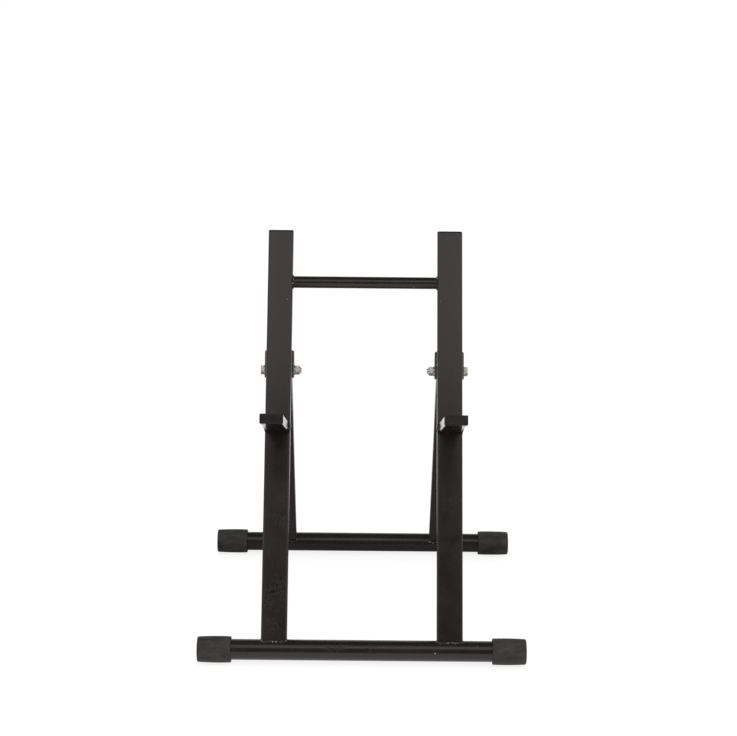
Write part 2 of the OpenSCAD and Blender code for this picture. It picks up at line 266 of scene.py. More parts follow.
def scratches(tree, where, grain, marks):
    """A mask of scratches, and of scuffs near the places given."""
    # The thin contours of a noise as long and wide as the grain, drawn 0.6 mm wide because a
    # real scratch, a tenth of that, is too fine to show
    turned = node(tree, "ShaderNodeMapping", {"Vector": where, "Rotation": (0.5, 0.15, 0.3),
                                              "Scale": [1 / length for length in grain]})
    lines = node(tree, "ShaderNodeTexNoise", {"Vector": turned.outputs["Vector"], "Scale": 1.0,
                                              "Detail": 3.0, "Distortion": 0.8})
    off = node(tree, "ShaderNodeMath", {0: lines.outputs["Fac"], 1: 0.5}, operation="SUBTRACT")
    off = node(tree, "ShaderNodeMath", {0: off.outputs["Value"]}, operation="ABSOLUTE")
    line = node(tree, "ShaderNodeMapRange", {"Value": off.outputs["Value"], "From Min": 0.03,
                                             "From Max": 0.008}).outputs["Result"]
    # They gather faintly in handled places, some 30 mm wide
    handled = node(tree, "ShaderNodeTexNoise", {"Vector": where, "Scale": 1 / 0.05, "Detail": 2.0})
    mask = node(tree, "ShaderNodeMapRange", {"Value": handled.outputs["Fac"], "From Min": 0.58,
                                             "From Max": 0.72, "To Max": 0.25}).outputs["Result"]
    scratch = node(tree, "ShaderNodeMath", {0: line, 1: mask}, operation="MULTIPLY").outputs["Value"]
    # Scuffs, two to three times as wide, lie only at the places given
    scuff = node(tree, "ShaderNodeMapRange", {"Value": off.outputs["Value"], "From Min": 0.075,
                                              "From Max": 0.035}).outputs["Result"]
    for place, reach in marks:
        mark = node(tree, "ShaderNodeMath", {0: scuff, 1: near(tree, where, place, reach)},
                    operation="MULTIPLY").outputs["Value"]
        scratch = node(tree, "ShaderNodeMath", {0: scratch, 1: mark},
                       operation="MAXIMUM").outputs["Value"]
    # Only pieces of each line, some 4 mm long, cut through
    broken = node(tree, "ShaderNodeTexNoise", {"Vector": where, "Scale": 1 / 0.007})
    broken = node(tree, "ShaderNodeMapRange", {"Value": broken.outputs["Fac"], "From Min": 0.46,
                                               "From Max": 0.54})
    return node(tree, "ShaderNodeMath", {0: scratch, 1: broken.outputs["Result"]},
                operation="MULTIPLY").outputs["Value"]


def caught_dust(tree, where, specks):
    """A mask of dust caught in the coat: specks of about 1 mm, every 25 mm or so, drawn larger
    than real ones, which are too fine to show, and one at each place given."""
    dust = node(tree, "ShaderNodeTexVoronoi", {"Vector": where, "Scale": 1 / 0.025})
    speck = node(tree, "ShaderNodeMapRange", {"Value": dust.outputs["Distance"],
                                              "From Min": 0.028, "From Max": 0.016,
                                              "To Max": 0.5}).outputs["Result"]
    for place, reach in specks:
        speck = node(tree, "ShaderNodeMath", {0: speck, 1: near(tree, where, place, reach)},
                     operation="MAXIMUM").outputs["Value"]
    return speck


def powder_coat(name, look, half_width=0.0, gloss=0.19, grain=(0.006, 0.014, 0.010), painted_light_places=(),
                marks=(), specks=()):
    """Satin black powder coat, sprayed dry on steel and baked. It melts to an even film with a
    broad soft sheen, a fine orange peel and duller patches, and it takes shallow scratches and
    dents. A half width is that of a tube's flat side, which bulges a little. Painted-light places,
    marks and specks are places with the reach of each; near a painted-light place the coat is painted paler."""
    made, tree, shader, where = new_material(name)
    # Duller patches of thinner film, some 40 mm wide
    film = node(tree, "ShaderNodeTexNoise", {"Vector": where, "Scale": 1 / 0.04, "Detail": 6.0,
                                             "Roughness": 0.75}).outputs["Fac"]
    # Painted light: near the places given, the coat is mixed towards its paler, duller colour, standing in for
    # more light falling there
    dull = film
    for place, reach in painted_light_places:
        painted_light_patch = node(tree, "ShaderNodeMath", {0: near(tree, where, place, reach), 1: 0.45,
                                              2: film}, operation="MULTIPLY_ADD")
        dull = node(tree, "ShaderNodeMath", {0: dull, 1: painted_light_patch.outputs["Value"]},
                    operation="MAXIMUM").outputs["Value"]
    scratch = scratches(tree, where, grain, marks)
    dust = caught_dust(tree, where, specks)
    coat = node(tree, "ShaderNodeMix", {0: dull, 6: linear(look.paint), 7: linear(look.paint_dull_and_painted_light)},
                data_type="RGBA")
    coat = node(tree, "ShaderNodeMix", {0: scratch, 6: coat.outputs[2], 7: linear(look.scratch)},
                data_type="RGBA")
    coat = node(tree, "ShaderNodeMix", {0: dust, 6: coat.outputs[2], 7: linear("#d8d4cf")},
                data_type="RGBA")
    tree.links.new(coat.outputs[2], shader.inputs["Base Color"])
    sheen = node(tree, "ShaderNodeMapRange", {"Value": film, "From Min": 0.3, "From Max": 0.7,
                                              "To Min": gloss, "To Max": gloss + 0.11})
    tree.links.new(sheen.outputs["Result"], shader.inputs["Roughness"])
    # Orange peel, 0.02 mm high
    peel = node(tree, "ShaderNodeTexNoise", {"Vector": where, "Scale": 1 / look.ripple, "Detail": 2.0})
    bump = node(tree, "ShaderNodeBump", {"Height": peel.outputs["Fac"], "Strength": 1.0,
                                         "Distance": 0.00002})
    # A scratch is 0.16 mm deep where it is worst
    dent = node(tree, "ShaderNodeBump", {"Height": scratch, "Strength": 1.0, "Distance": 0.00016},
                invert=True)
    tree.links.new(dent.outputs["Normal"], bump.inputs["Normal"])
    if half_width:
        # The bulge is highest along the middle of each tube
        x = node(tree, "ShaderNodeSeparateXYZ", {"Vector": where}).outputs["X"]
        off = node(tree, "ShaderNodeMath", {0: x}, operation="ABSOLUTE").outputs["Value"]
        off = node(tree, "ShaderNodeMath", {0: off, 1: POST_X}, operation="SUBTRACT").outputs["Value"]
        off = node(tree, "ShaderNodeMath", {0: off, 1: half_width}, operation="DIVIDE").outputs["Value"]
        bulge = node(tree, "ShaderNodeMath", {0: off, 1: off}, operation="MULTIPLY").outputs["Value"]
        crown = node(tree, "ShaderNodeBump", {"Height": bulge, "Strength": 1.0,
                                              "Distance": look.crown}, invert=True)
        tree.links.new(crown.outputs["Normal"], dent.inputs["Normal"])
    tree.links.new(bump.outputs["Normal"], shader.inputs["Normal"])
    shader.inputs["IOR"].default_value = 1.5
    # The brown in the black pigment warms its sheen
    shader.inputs["Specular Tint"].default_value = linear("#fff4f0")
    return made


class STAND_OT_powder_coat(Operator):
    """Paints the bars, posts, legs, brackets, sleeves, pins and arms"""
    bl_idname = "stand.powder_coat"
    bl_label = "Powder coat"

    def execute(self, context):
        look = context.scene.stand_finish
        welds = context.scene.stand_welds
        face = -welds.tube_depth / 2
        # The bars' scratches run along them, with two scuffs and a speck on the front one
        wear(powder_coat("powder_coat_on_bars", look, grain=(0.040, 0.006, 0.012),
                         marks=[((-0.041, -0.2145, 0.031), 0.020),
                                ((0.015, -0.2140, 0.031), 0.012)],
                         specks=[((0.1128, -0.2180, 0.0246), 0.0010)]),
             *named("front_foot_bar", "rear_foot_bar", "cross_brace", "arm_bracket",
                    "hinge_bracket", "leg_sleeve", "arm_sleeve", "arm_pin"))
        # The left post is scuffed above its foot, and its lower part is painted paler: painted light standing in
        # for more light on that side
        wear(powder_coat("powder_coat_on_posts", look, TUBE_W / 2,
                         painted_light_places=[(on_post(welds, "left", 0, face, 0.1), 0.22)],
                         marks=[(on_post(welds, "left", -0.002, face, 0.038), 0.018),
                                (on_post(welds, "left", 0.000, face, 0.078), 0.026),
                                (on_post(welds, "left", 0.005, face, 0.104), 0.016),
                                (on_post(welds, "left", 0.010, face, 0.200), 0.014)]),
             *named("post_left", "post_right", "rear_leg"))
        wear(powder_coat("powder_coat_on_arms", look, ARM_W / 2, gloss=0.10),
             "arm_left", "arm_right")
        return {"FINISHED"}


# ---- Caps and plugs ------------------------------------------------------------------------

def stand_in(data, node_name):
    """Puts a new piece in the place of a CAD one, on the same body."""
    bodies = frame["record"]["behaviour"]["bodies"]
    body = next(b for b, members in bodies.items() if node_name in members)
    piece = add_object(data)
    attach(piece, body)
    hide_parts(node_name)
    return piece


def cap_mesh(node_name, size):
    """Mesh of a slip-on cap in the place of a CAD one, crisper at its outer edge. It is spun
    from half its section: bore, mouth, bulging side and closed end."""
    clearance = 0.0001
    rising, falling = 4, 6  # stretches of the side up to its fullest place and from there on
    low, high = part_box(node_name)
    length, radius = high.x - low.x, (high.z - low.z) / 2
    bore = BAR_R + clearance
    along = [size.fullest * i / rising for i in range(rising)]
    along += [size.fullest + (length - size.fullest) * i / falling for i in range(falling + 1)]
    section = [(length - size.floor, 0), (length - size.floor, bore), (0, bore)]
    for x in along:
        drop = size.belly - math.sqrt(size.belly ** 2 - (x - size.fullest) ** 2)
        section.append((x, radius - drop))
    section.append((length, 0))
    bm = bmesh.new()
    ring = [bm.verts.new((x, 0, r)) for x, r in section]
    for a, b in zip(ring, ring[1:]):
        bm.edges.new((a, b))
    bmesh.ops.spin(bm, geom=bm.verts[:] + bm.edges[:], cent=(0, 0, 0), axis=(1, 0, 0),
                   angle=2 * math.pi, steps=96, use_merge=True)
    bmesh.ops.remove_doubles(bm, verts=bm.verts, dist=TOUCH)
    bmesh.ops.recalc_face_normals(bm, faces=bm.faces)
    for place, width in ((length, size.edge), (0, size.lip)):
        rim = [e for e in bm.edges if all(abs(v.co.x - place) < TOUCH for v in e.verts)
               and e.calc_face_angle(0) > math.radians(60)]
        bmesh.ops.bevel(bm, geom=rim, offset=width, offset_type="OFFSET", affect="EDGES",
                        segments=5, profile=0.5, material=-1)
    # The mouth faces the middle of the stand
    if high.x < 0:
        bmesh.ops.rotate(bm, verts=bm.verts, cent=(0, 0, 0),
                         matrix=Matrix.Rotation(math.pi, 3, "Z"))
    mouth = Vector((high.x if high.x < 0 else low.x, (low.y + high.y) / 2,
                    (low.z + high.z) / 2))
    bmesh.ops.translate(bm, verts=bm.verts, vec=mouth)
    # All is round except the end, the mouth and the floor of the bore
    for face in bm.faces:
        face.smooth = abs(face.normal.x) < 0.999
    return mesh_from(bm, node_name + "_rubber")


def moulded_rubber(look):
    """The foot caps' material."""
    # Compression-moulded rubber: matt and slightly pebbled, greyed by bloom in soft patches,
    # with dust near the floor
    made, tree, shader, where = new_material("moulded_rubber")
    # Bloom in patches some 30 mm long and 11 mm wide
    drawn = node(tree, "ShaderNodeMapping", {"Vector": where,
                                             "Scale": (1 / 0.030, 1 / 0.011, 1 / 0.011)})
    bloom = node(tree, "ShaderNodeTexNoise", {"Vector": drawn.outputs["Vector"], "Scale": 1.0,
                                              "Detail": 6.0, "Roughness": 0.68})
    fade = node(tree, "ShaderNodeMapRange", {"Value": bloom.outputs["Fac"], "From Min": 0.35,
                                             "From Max": 0.65})
    tone = node(tree, "ShaderNodeMix", {0: fade.outputs["Result"], 6: linear(look.rubber),
                                        7: linear("#403937")}, data_type="RGBA")
    # Dust on the lowest 10 mm, in clumps of 3 mm
    height = node(tree, "ShaderNodeSeparateXYZ", {"Vector": where}).outputs["Z"]
    low = node(tree, "ShaderNodeMapRange", {"Value": height, "From Min": 0.010,
                                            "From Max": 0.001, "To Max": 0.45})
    dust = node(tree, "ShaderNodeTexNoise", {"Vector": where, "Scale": 1 / 0.003, "Detail": 4.0})
    dusty = node(tree, "ShaderNodeMath", {0: low.outputs["Result"], 1: dust.outputs["Fac"]},
                 operation="MULTIPLY")
    tone = node(tree, "ShaderNodeMix", {0: dusty.outputs["Value"], 6: tone.outputs[2],
                                        7: linear("#6f6a66")}, data_type="RGBA")
    tree.links.new(tone.outputs[2], shader.inputs["Base Color"])
    matt = node(tree, "ShaderNodeMapRange", {"Value": bloom.outputs["Fac"], "To Min": 0.62,
                                             "To Max": 0.85})
    tree.links.new(matt.outputs["Result"], shader.inputs["Roughness"])
    # Pebbles of the mould's eroded face, drawn 1.5 mm wide because the real grain is too fine
    # to show
    pebble = node(tree, "ShaderNodeTexNoise", {"Vector": where, "Scale": 1 / 0.0015, "Detail": 2.0})
    bump = node(tree, "ShaderNodeBump", {"Height": pebble.outputs["Fac"], "Strength": 1.0,
                                         "Distance": 0.00010})
    tree.links.new(bump.outputs["Normal"], shader.inputs["Normal"])
    shader.inputs["IOR"].default_value = 1.52
    return made


class STAND_OT_rubber_caps(Operator):
    """Moulds the foot caps and gives them their rubber"""
    bl_idname = "stand.rubber_caps"
    bl_label = "Rubber caps"

    def execute(self, context):
        made = moulded_rubber(context.scene.stand_finish)
        for name in named("front_cap", "rear_cap"):
            wear(made, stand_in(cap_mesh(name, context.scene.stand_caps), name))
        return {"FINISHED"}


def block(bm, low, high):
    """Adds a box between two corners."""
    fit = Matrix.Translation((low + high) / 2) @ Matrix.Diagonal((*(high - low), 1))
    bmesh.ops.create_cube(bm, size=1.0, matrix=fit)


def pull(bm, faces):
    """Extrudes faces, leaves none of them behind and returns the new vertices, still to be
    moved."""
    made = bmesh.ops.extrude_face_region(bm, geom=faces)["geom"]
    bmesh.ops.delete(bm, geom=faces, context="FACES")
    return [g for g in made if isinstance(g, bmesh.types.BMVert)]


def faces_at(bm, y):
    """The faces that lie across the plug at one place along it."""
    return [f for f in bm.faces if all(abs(v.co.y - y) < TOUCH for v in f.verts)]


def plug_mesh(node_name, size):
    """Mesh of an arm's end plug in the place of a CAD one, with the sharper corners of a
    moulding: a flange, and a hollow core with ribs inside the tube, as one shell. It is made
    with its arm level, along Y, and then turned to the arm's slope."""
    plug_floor = 0.001  # between the flange and the hollow
    flat = Matrix.Rotation(size.slope, 4, "X")
    found = [flat @ v.co for v in NODES[node_name].data.vertices]
    low = Vector([min(p[i] for p in found) for i in range(3)])
    high = Vector([max(p[i] for p in found) for i in range(3)])
    back = low.y + size.flange
    bm = bmesh.new()
    block(bm, low, Vector((high.x, back, high.z)))
    corners = [e for e in bm.edges
               if abs(e.verts[0].co.y - e.verts[1].co.y) > size.flange / 2]
    bmesh.ops.bevel(bm, geom=corners, offset=size.corner, offset_type="OFFSET",
                    affect="EDGES", segments=4, profile=0.5, material=-1)
    rim = [e for e in bm.edges if all(abs(v.co.y - low.y) < TOUCH for v in e.verts)]
    bmesh.ops.bevel(bm, geom=rim, offset=size.chamfer, offset_type="OFFSET", affect="EDGES",
                    segments=2, profile=0.5, material=-1)
    inset = Vector((size.wall + size.rib, 0, size.wall + size.rib))
    core_low, core_high = Vector((low.x, back, low.z)) + inset, high - inset
    block(bm, core_low, core_high)
    # Each rib is a band of the core, cut off and raised
    middle, span = (core_low + core_high) / 2, core_high - core_low
    grow = (1 + 2 * size.rib / span.x, 1, 1 + 2 * size.rib / span.z)
    for i in range(size.ribs):
        start = back + (i + 1) * span.y / (size.ribs + 1)
        for y in (start, start + size.rib):
            bmesh.ops.bisect_plane(bm, geom=bm.verts[:] + bm.edges[:] + bm.faces[:],
                                   plane_co=(0, y, 0), plane_no=(0, 1, 0))
        band = [f for f in bm.faces if start < f.calc_center_median().y < start + size.rib]
        bmesh.ops.scale(bm, vec=grow, space=Matrix.Translation(-middle), verts=pull(bm, band))
    # The core joins the flange
    facing = faces_at(bm, back)
    edges = [e for f in facing for e in f.edges]
    bmesh.ops.delete(bm, geom=facing, context="FACES_ONLY")
    bmesh.ops.bridge_loops(bm, edges=edges)
    # and is hollow from its rear end
    tail = faces_at(bm, high.y)
    bmesh.ops.inset_region(bm, faces=tail, thickness=size.core, use_even_offset=True)
    bmesh.ops.translate(bm, vec=(0, back + plug_floor - high.y, 0), verts=pull(bm, tail))
    bmesh.ops.recalc_face_normals(bm, faces=bm.faces)
    bmesh.ops.transform(bm, matrix=flat.inverted(), verts=bm.verts)
    return mesh_from(bm, node_name + "_moulding")


def moulded_polyethylene(look):
    """The tube plugs' material."""
    # Injection-moulded polyethylene: waxy and matt, with a fine spark-eroded grain and flow
    # marks
    made, tree, shader, where = new_material("moulded_polyethylene")
    # Flow marks some 14 mm long and 7 mm wide
    flow = node(tree, "ShaderNodeMapping", {"Vector": where,
                                            "Scale": (1 / 0.014, 1 / 0.007, 1 / 0.007)})
    marks = node(tree, "ShaderNodeTexNoise", {"Vector": flow.outputs["Vector"], "Scale": 1.0,
                                              "Detail": 4.0, "Distortion": 0.8})
    fade = node(tree, "ShaderNodeMapRange", {"Value": marks.outputs["Fac"], "From Min": 0.35,
                                             "From Max": 0.65})
    tone = node(tree, "ShaderNodeMix", {0: fade.outputs["Result"], 6: linear(look.plastic),
                                        7: linear("#241e1e")}, data_type="RGBA")
    tree.links.new(tone.outputs[2], shader.inputs["Base Color"])
    waxy = node(tree, "ShaderNodeMapRange", {"Value": marks.outputs["Fac"], "To Min": 0.42,
                                             "To Max": 0.58})
    tree.links.new(waxy.outputs["Result"], shader.inputs["Roughness"])
    # Spark-eroded grain, 0.8 mm wide and 0.04 mm deep
    grain = node(tree, "ShaderNodeTexNoise", {"Vector": where, "Scale": 1 / 0.0008, "Detail": 2.0})
    bump = node(tree, "ShaderNodeBump", {"Height": grain.outputs["Fac"], "Strength": 1.0,
                                         "Distance": 0.00004})
    tree.links.new(bump.outputs["Normal"], shader.inputs["Normal"])
    shader.inputs["IOR"].default_value = 1.51
    shader.inputs["Specular IOR Level"].default_value = 0.3
    return made


class STAND_OT_plastic_plugs(Operator):
    """Moulds the arms' plugs and gives all plugs their plastic"""
    bl_idname = "stand.plastic_plugs"
    bl_label = "Plastic plugs"

    def execute(self, context):
        made = moulded_polyethylene(context.scene.stand_finish)
        wear(made, *named("post_plug"))
        for name in named("arm_plug"):
            wear(made, stand_in(plug_mesh(name, context.scene.stand_plugs), name))
        return {"FINISHED"}


# ---- Fasteners -----------------------------------------------------------------------------

def zinc_plate(look):
    """The fasteners' material."""
    # Bright zinc plate on turned and stamped steel: silvery with a faint blue and straw tint,
    # fine circular tool marks and dull handling spots
    made, tree, shader, where = new_material("zinc_plated_steel")
    # The tint wanders over some 8 mm
    tint = node(tree, "ShaderNodeTexNoise", {"Vector": where, "Scale": 1 / 0.008, "Detail": 3.0})
    tone = node(tree, "ShaderNodeMix", {0: tint.outputs["Fac"], 6: linear(look.zinc),
                                        7: linear("#bfb8a4")}, data_type="RGBA")
    tree.links.new(tone.outputs[2], shader.inputs["Base Color"])
    shader.inputs["Metallic"].default_value = 1.0
    # Tool marks: rings round the pivot. A wave repeats every 0.314 / scale metres, here 2.5 mm,
    # because real marks, a tenth of that, are too fine to show
    centred = node(tree, "ShaderNodeVectorMath", {0: where, 1: (0, FOLD.y, FOLD.z)},
                   operation="SUBTRACT")
    rings = node(tree, "ShaderNodeTexWave", {"Vector": centred.outputs["Vector"],
                                             "Scale": 125.0, "Distortion": 1.0,
                                             "Detail": 2.0},
                 wave_type="RINGS", rings_direction="X")
    # Handling spots of 3 mm
    spots = node(tree, "ShaderNodeTexNoise", {"Vector": where, "Scale": 1 / 0.003, "Detail": 4.0})
    dull = node(tree, "ShaderNodeMapRange", {"Value": spots.outputs["Fac"], "From Min": 0.35,
                                             "From Max": 0.7, "To Min": 0.26, "To Max": 0.45})
    tree.links.new(dull.outputs["Result"], shader.inputs["Roughness"])
    bump = node(tree, "ShaderNodeBump", {"Height": rings.outputs["Fac"], "Strength": 1.0,
                                         "Distance": 0.000012})
    tree.links.new(bump.outputs["Normal"], shader.inputs["Normal"])
    return made


class STAND_OT_plated_fasteners(Operator):
    """Gives the hinge bolts, washers and nuts their zinc plate"""
    bl_idname = "stand.plated_fasteners"
    bl_label = "Plated fasteners"

    def execute(self, context):
        wear(zinc_plate(context.scene.stand_finish),
             *named("hinge_bolt", "hinge_washers", "hinge_nut"))
        return {"FINISHED"}


# ---- Weld beads ----------------------------------------------------------------------------

def outline(width, depth, corner, step):
    """Points at equal steps round a rectangle with round corners."""
    points = []
    bend = corner * math.pi / 2
    on_bend = max(2, round(bend / step))
    for turn, (w, d) in enumerate(((width, depth), (depth, width)) * 2):
        quarter = Matrix.Rotation(turn * math.pi / 2, 2)
        run = d - 2 * corner
        on_run = max(2, round(run / step))
        for i in range(on_run):
            points.append(quarter @ Vector((w / 2, -run / 2 + run * i / on_run)))
        for i in range(on_bend):
            a = math.pi / 2 * i / on_bend
            points.append(quarter @ Vector((w / 2 - corner + corner * math.cos(a),
                                            d / 2 - corner + corner * math.sin(a))))
    return points


def bead_mesh(path, ripple, closed):
    """Mesh of a bead along a path of places and widths: a tube that swells where each puddle of
    metal froze and as the welder's hand wandered. An open bead tapers at its ends."""
    puddle, hand = 0.10, 0.07  # shares of the width by which it swells
    wander = 0.0047  # length of bead in a radian of the hand's wander
    tip, growth = 0.45, 0.2  # an end's share of the width, and what each place adds to it
    curve = bpy.data.curves.new("bead", "CURVE")
    curve.dimensions = "3D"
    curve.bevel_depth = 1.0
    curve.bevel_resolution = 2
    curve.use_fill_caps = not closed
    spline = curve.splines.new("POLY")
    spline.points.add(len(path) - 1)
    spline.use_cyclic_u = closed
    run = 0.0
    for i, (place, width) in enumerate(path):
        if i:
            run += (place - path[i - 1][0]).length
        spline.points[i].co = (*place, 1)
        swell = puddle * math.cos(2 * math.pi * run / ripple) + hand * math.sin(run / wander)
        taper = 1.0 if closed else min(1.0, tip + growth * min(i, len(path) - 1 - i))
        spline.points[i].radius = width / 2 * (1 + swell) * taper
    holder = bpy.data.objects.new("bead", curve)
    data = bpy.data.meshes.new_from_object(holder)
    bpy.data.objects.remove(holder)
    bpy.data.curves.remove(curve)
    return data


def weld(name, beads, body):
    """One piece from a list of bead meshes. It rides on a body."""
    bm = bmesh.new()
    for data in beads:
        bm.from_mesh(data)
        bpy.data.meshes.remove(data)
    bmesh.ops.remove_doubles(bm, verts=bm.verts, dist=TOUCH)
    bmesh.ops.recalc_face_normals(bm, faces=bm.faces)
    for face in bm.faces:
        face.smooth = True
    piece = add_object(mesh_from(bm, name))
    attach(piece, body)
    return piece


def weld_paint():
    """Powder coat over a weld as it was left: the same black, rougher, with bright flecks of
    spatter that the coat didn't cover."""
    made, tree, shader, where = new_material("powder_coat_on_welds")
    # Soot under the coat, in clouds of 4 mm
    soot = node(tree, "ShaderNodeTexNoise", {"Vector": where, "Scale": 1 / 0.004, "Detail": 4.0})
    tone = node(tree, "ShaderNodeMix", {0: soot.outputs["Fac"], 6: linear("#0b0908"),
                                        7: linear("#1a1514")}, data_type="RGBA")
    # Flecks of about 1.3 mm, every 3 mm or so
    cells = node(tree, "ShaderNodeTexVoronoi", {"Vector": where, "Scale": 1 / 0.0032})
    fleck = node(tree, "ShaderNodeMapRange", {"Value": cells.outputs["Distance"],
                                              "From Min": 0.25, "From Max": 0.16,
                                              "To Max": 0.9})
    tone = node(tree, "ShaderNodeMix", {0: fleck.outputs["Result"], 6: tone.outputs[2],
                                        7: linear("#e6dcd4")}, data_type="RGBA")
    tree.links.new(tone.outputs[2], shader.inputs["Base Color"])
    shader.inputs["Roughness"].default_value = 0.38
    # Slag pits, about 1 mm wide
    pits = node(tree, "ShaderNodeTexNoise", {"Vector": where, "Scale": 1 / 0.001, "Detail": 3.0})
    bump = node(tree, "ShaderNodeBump", {"Height": pits.outputs["Fac"], "Strength": 1.0,
                                         "Distance": 0.00025})
    tree.links.new(bump.outputs["Normal"], shader.inputs["Normal"])
    return made


class STAND_OT_foot_welds(Operator):
    """Lays a bead round the foot of each post and leg, where it is coped on its bar"""
    bl_idname = "stand.foot_welds"
    bl_label = "Foot welds"

    def execute(self, context):
        size = context.scene.stand_welds
        made = weld_paint()
        # The bead is fullest along the front and rear, where it runs out onto the bar, and
        # a third as wide on the tube's sides
        run_out, thinning = size.foot_bead / 3, 0.65
        leg_lean = math.atan2(REAR_BAR.y - FOLD.y, FOLD.z - REAR_BAR.z)
        for tube, bar, turn, body in (("post", FRONT_BAR, -size.post_lean, "front_frame"),
                                      ("leg", REAR_BAR, leg_lean, "rear_frame")):
            for side in SIDES:
                stands = (Matrix.Translation((post_x(side), bar.y, bar.z))
                          @ Matrix.Rotation(turn, 4, "X"))
                path = []
                for x, y in outline(TUBE_W, size.tube_depth + run_out, size.corner,
                                    size.ripple / BEAD_STEPS):
                    beside = min(1, max(0, (abs(x) - TUBE_W / 2 + size.corner) / size.corner))
                    path.append((stands @ Vector((x, y, math.sqrt(BAR_R ** 2 - y ** 2))),
                                 size.foot_bead * (1 - thinning * beside)))
                wear(made, weld(f"{tube}_foot_weld_{side}",
                                [bead_mesh(path, size.ripple, True)], body))
        return {"FINISHED"}


def web_beads(size, side, bracket, face):
    """Meshes of the two beads along the web of a bracket, on one face of a post."""
    sunk = 0.0006  # how far a bead's middle lies inside the post's corner
    short = 0.002  # how far it stops before the web's end
    close = 0.0005  # how near the post's face the web's vertices lie
    # The web's height, read along the post from the piece's own mesh
    down = Matrix.Rotation(size.post_lean, 4, "X")
    found = [down @ (v.co - FRONT_BAR) for v in NODES[f"{bracket}_{side}"].data.vertices]
    web = [p.z for p in found if abs(abs(p.y) - size.tube_depth / 2) < close]
    low, high = min(web) + short, max(web) - short
    count = max(4, round((high - low) / (size.ripple / BEAD_STEPS)))
    beads = []
    for x in (-1, 1):
        path = [(on_post(size, side, x * (TUBE_W / 2 - sunk), face * (size.tube_depth / 2 - sunk),
                         low + (high - low) * i / count), size.seam_bead)
                for i in range(count + 1)]
        beads.append(bead_mesh(path, size.ripple, False))
    return beads


def brace_bead(size, side):
    """Mesh of the bead round one end of the brace."""
    proud = 0.0003  # how far the bead's middle stands off the brace
    brace = box_centre("cross_brace")
    end = half_size("cross_brace").x * (1 if side == "right" else -1)
    r = half_size("cross_brace").z + proud
    count = round(2 * math.pi * r / (size.ripple / BEAD_STEPS))
    path = [(Vector((end, brace.y + r * math.cos(2 * math.pi * i / count),
                     brace.z + r * math.sin(2 * math.pi * i / count))), size.seam_bead)
            for i in range(count)]
    return bead_mesh(path, size.ripple, True)


class STAND_OT_bracket_welds(Operator):
    """Lays beads along the brackets' webs and round the brace's ends"""
    bl_idname = "stand.bracket_welds"
    bl_label = "Bracket and brace welds"

    def execute(self, context):
        size = context.scene.stand_welds
        made = weld_paint()
        for side in SIDES:
            for bracket, face in (("arm_bracket", -1), ("hinge_bracket", 1)):
                wear(made, weld(f"{bracket}_weld_{side}", web_beads(size, side, bracket, face),
                                "front_frame"))
            wear(made, weld(f"brace_weld_{side}", [brace_bead(size, side)], "front_frame"))
        return {"FINISHED"}


# ---- Studio --------------------------------------------------------------------------------

def white_paper():
    """The floor's material."""
    # Seamless paper: matt white. The camera and gloss see most of it as plain white and the
    # rest as lit, which keeps a soft shadow
    made, tree, shader, where = new_material("white_paper")
    # Fibre clouds of 25 mm
    fibre = node(tree, "ShaderNodeTexNoise", {"Vector": where, "Scale": 1 / 0.025, "Detail": 3.0})
    tone = node(tree, "ShaderNodeMix", {0: fibre.outputs["Fac"], 6: linear("#faf6f4"),
                                        7: linear("#fcf9f7")}, data_type="RGBA")
    tree.links.new(tone.outputs[2], shader.inputs["Base Color"])
    shader.inputs["Roughness"].default_value = 1.0
    shader.inputs["Specular IOR Level"].default_value = 0.0
    path = node(tree, "ShaderNodeLightPath")
    shadowed = node(tree, "ShaderNodeBsdfDiffuse", {"Color": linear("#909090")})
    # Painted shade: under the stand, gloss sees the floor's glow turned down, a painted shadow in what the tubes
    # reflect
    along = node(tree, "ShaderNodeSeparateXYZ", {"Vector": where}).outputs["Y"]
    front = node(tree, "ShaderNodeMapRange", {"Value": along, "From Min": FRONT_BAR.y - 0.02,
                                              "From Max": FRONT_BAR.y + 0.08})
    rear = node(tree, "ShaderNodeMapRange", {"Value": along, "From Min": REAR_BAR.y + 0.40,
                                             "From Max": REAR_BAR.y + 0.10})
    painted_shade = node(tree, "ShaderNodeMath", {0: front.outputs["Result"], 1: rear.outputs["Result"]},
                 operation="MULTIPLY")
    painted_shade = node(tree, "ShaderNodeMath", {0: painted_shade.outputs["Value"],
                                          1: path.outputs["Is Glossy Ray"]}, operation="MULTIPLY")
    level = node(tree, "ShaderNodeMapRange", {"Value": painted_shade.outputs["Value"], "To Min": 0.83,
                                              "To Max": 0.10})
    glow = node(tree, "ShaderNodeEmission", {"Strength": level.outputs["Result"]})
    white = node(tree, "ShaderNodeAddShader", {0: shadowed.outputs["BSDF"],
                                               1: glow.outputs["Emission"]})
    seen = node(tree, "ShaderNodeMath", {0: path.outputs["Is Camera Ray"],
                                         1: path.outputs["Is Glossy Ray"]},
                operation="MAXIMUM")
    both = node(tree, "ShaderNodeMixShader", {0: seen.outputs["Value"],
                                              1: shader.outputs["BSDF"],
                                              2: white.outputs["Shader"]})
    output = next(n for n in tree.nodes if n.bl_idname == "ShaderNodeOutputMaterial")
    tree.links.new(both.outputs["Shader"], output.inputs["Surface"])
    return made


def make_floor():
    """The floor."""
    half_width = 8.0
    bm = bmesh.new()
    bmesh.ops.create_grid(bm, x_segments=1, y_segments=1, size=half_width)
    floor = add_object(mesh_from(bm, "studio_floor"))
    wear(white_paper(), floor)


